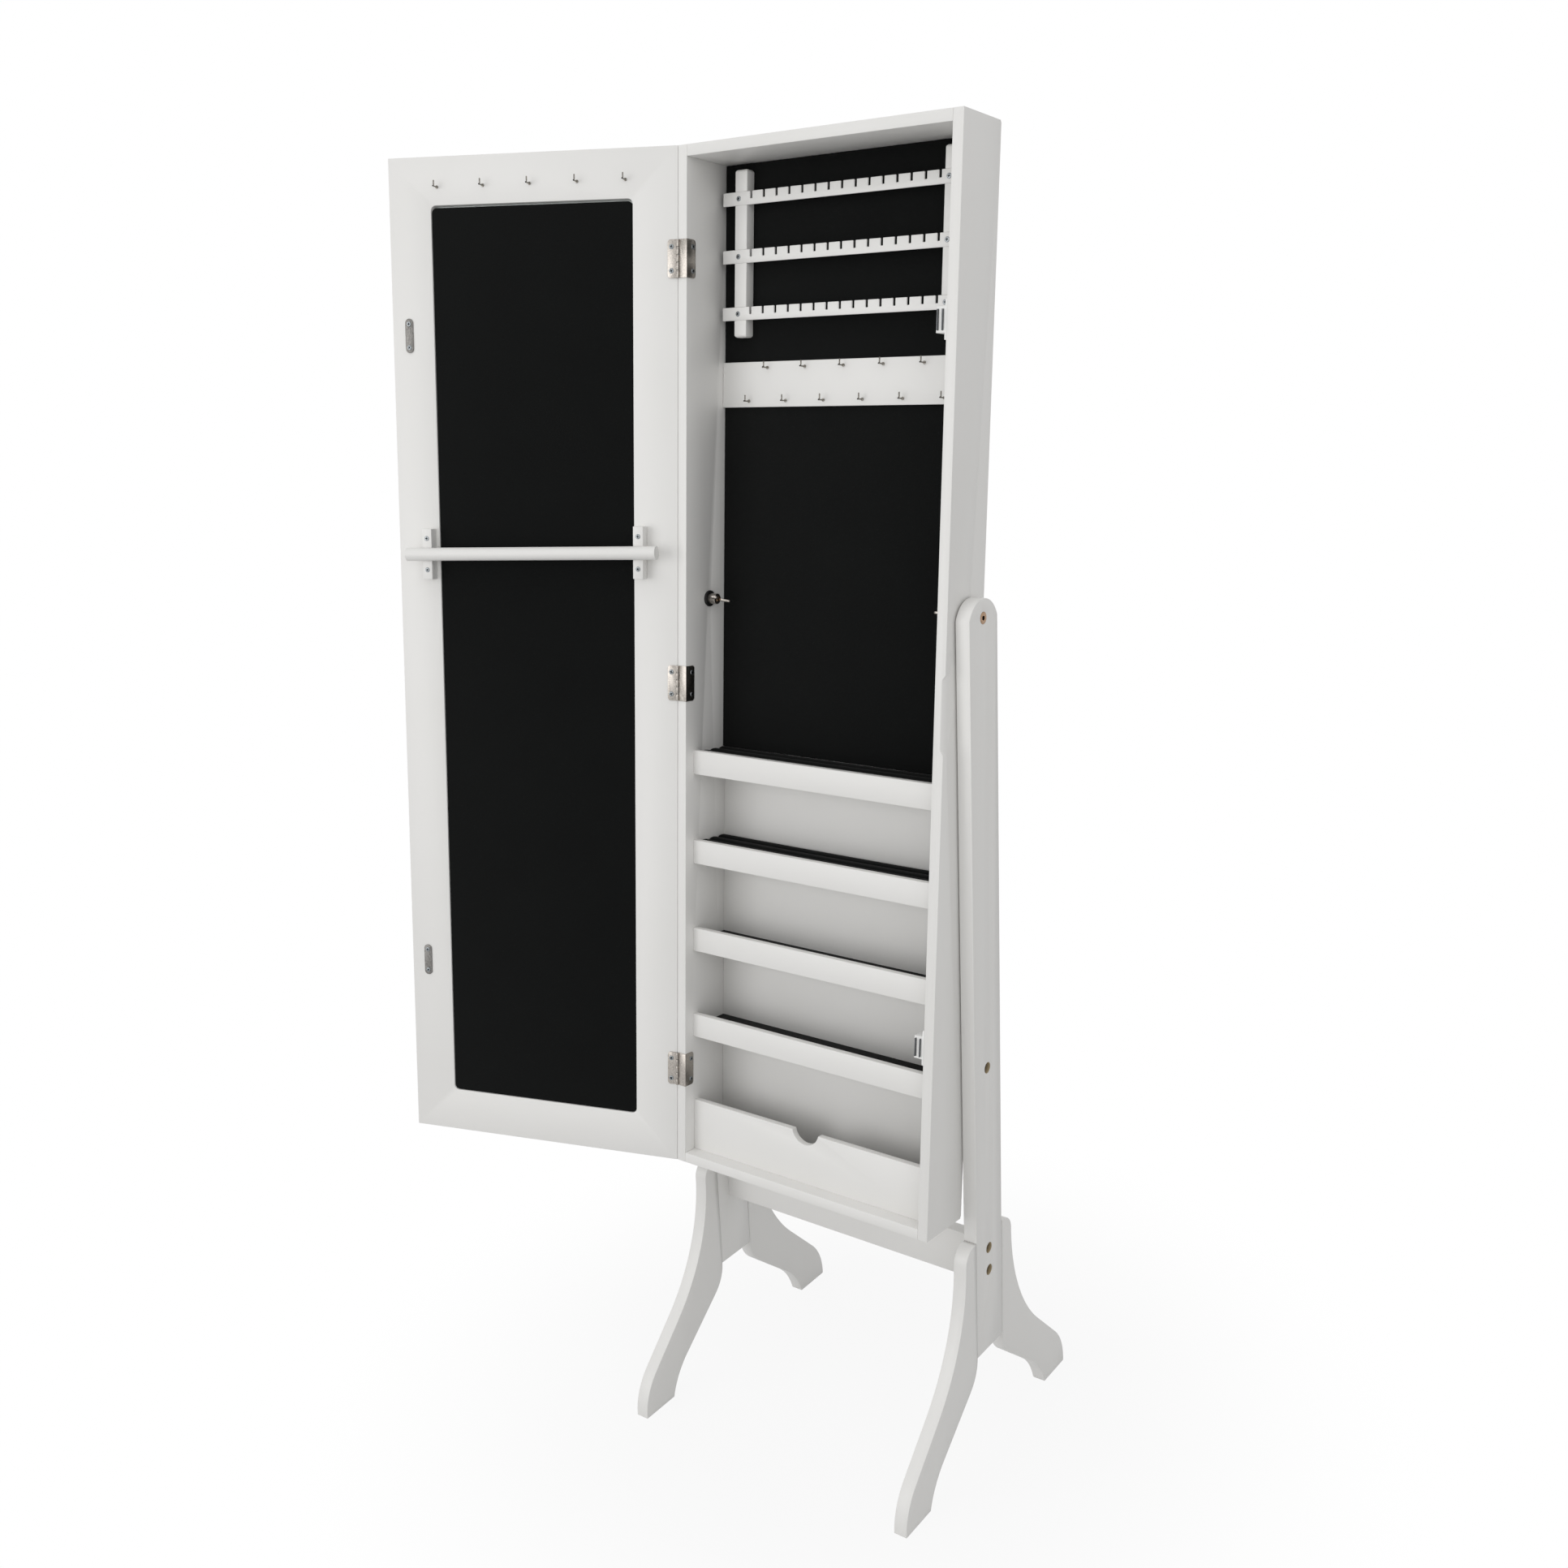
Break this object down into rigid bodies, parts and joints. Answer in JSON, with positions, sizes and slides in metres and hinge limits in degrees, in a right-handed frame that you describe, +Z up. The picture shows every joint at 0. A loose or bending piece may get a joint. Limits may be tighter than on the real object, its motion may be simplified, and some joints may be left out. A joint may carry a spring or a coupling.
{
  "type": "mirror cabinet",
  "caption": "Free-standing jewellery cabinet that tilts between two uprights, with a mirror door, shelves, hook rail, slotted earring rails and padded ring rolls",
  "frame": {"origin": "on the floor, midway between the four feet and right below the pivot axis", "axes": "+Z up, +X to the viewer's right, the open front of the cabinet faces -Y"},
  "size_m": [0.6969, 0.4056, 1.4666],
  "materials": {
    "painted_board": "fibreboard with white satin paint",
    "felt": "black flocked felt, short pile",
    "mirror": "silvered plate glass",
    "nickel": "nickel-plated steel",
    "zinc": "zinc-plated steel",
    "yellow_zinc": "yellow-passivated zinc plating",
    "washer_plastic": "black nylon",
    "catch_plastic": "white moulded plastic",
    "ferrite": "sintered ferrite"
  },
  "bodies": {
    "stand": {"upright_left": "painted_board", "upright_right": "painted_board", "front_leg_left": "painted_board", "front_leg_right": "painted_board", "rear_leg_left": "painted_board", "rear_leg_right": "painted_board", "stretcher": "painted_board", "stretcher_bolts": "zinc", "pivot_bolts": "yellow_zinc", "pivot_spacers": "washer_plastic"},
    "cabinet": {"side_panel_left": "painted_board", "side_panel_right": "painted_board", "top_panel": "painted_board", "bottom_panel": "painted_board", "back_panel": "painted_board", "felt_back": "felt", "earring_batten_left": "painted_board", "earring_batten_right": "painted_board", "earring_rail_top": "painted_board", "earring_rail_middle": "painted_board", "earring_rail_bottom": "painted_board", "hook_rail": "painted_board", "rail_hooks": "nickel", "shelf_1": "painted_board", "shelf_2": "painted_board", "shelf_3": "painted_board", "shelf_4": "painted_board", "shelf_lip_1": "painted_board", "shelf_lip_2": "painted_board", "shelf_lip_3": "painted_board", "shelf_lip_4": "painted_board", "ring_roll_1": "felt", "ring_roll_2": "felt", "shelf_felts": "felt", "bin_front": "painted_board", "catch_bodies": "catch_plastic", "catch_plates": "zinc", "catch_magnets": "ferrite", "hinge_cabinet_leaf_top": "nickel", "hinge_cabinet_leaf_middle": "nickel", "hinge_cabinet_leaf_bottom": "nickel", "hinge_pins": "nickel", "pivot_washers": "washer_plastic"},
    "door": {"door_frame": "painted_board", "mirror_glass": "mirror", "door_felt": "felt", "door_hooks": "nickel", "bracelet_rod": "painted_board", "rod_block_left": "painted_board", "rod_block_right": "painted_board", "strike_plates": "nickel", "hinge_door_leaf_top": "nickel", "hinge_door_leaf_middle": "nickel", "hinge_door_leaf_bottom": "nickel"},
    "wing_nut_left": {"wing_nut_left": "nickel"},
    "wing_nut_right": {"wing_nut_right": "nickel"}
  },
  "joints": [
    {"name": "cabinet_tilt", "type": "hinge", "parent": "stand", "child": "cabinet", "pos_m": [0, 0, 0.973], "axis": [1, 0, 0], "range_deg": [-9.6, 5.4]},
    {"name": "door_swing", "type": "hinge", "parent": "cabinet", "child": "door", "pos_m": [-0.173, -0.05146, 0.88345], "axis": [0, 0.0941, 0.9956], "range_deg": [0, 160.6]},
    {"name": "wing_nut_left_turn", "type": "hinge", "parent": "stand", "child": "wing_nut_left", "pos_m": [-0.155, 0, 0.973], "axis": [1, 0, 0], "continuous": true},
    {"name": "wing_nut_right_turn", "type": "hinge", "parent": "stand", "child": "wing_nut_right", "pos_m": [0.155, 0, 0.973], "axis": [1, 0, 0], "continuous": true}
  ]
}
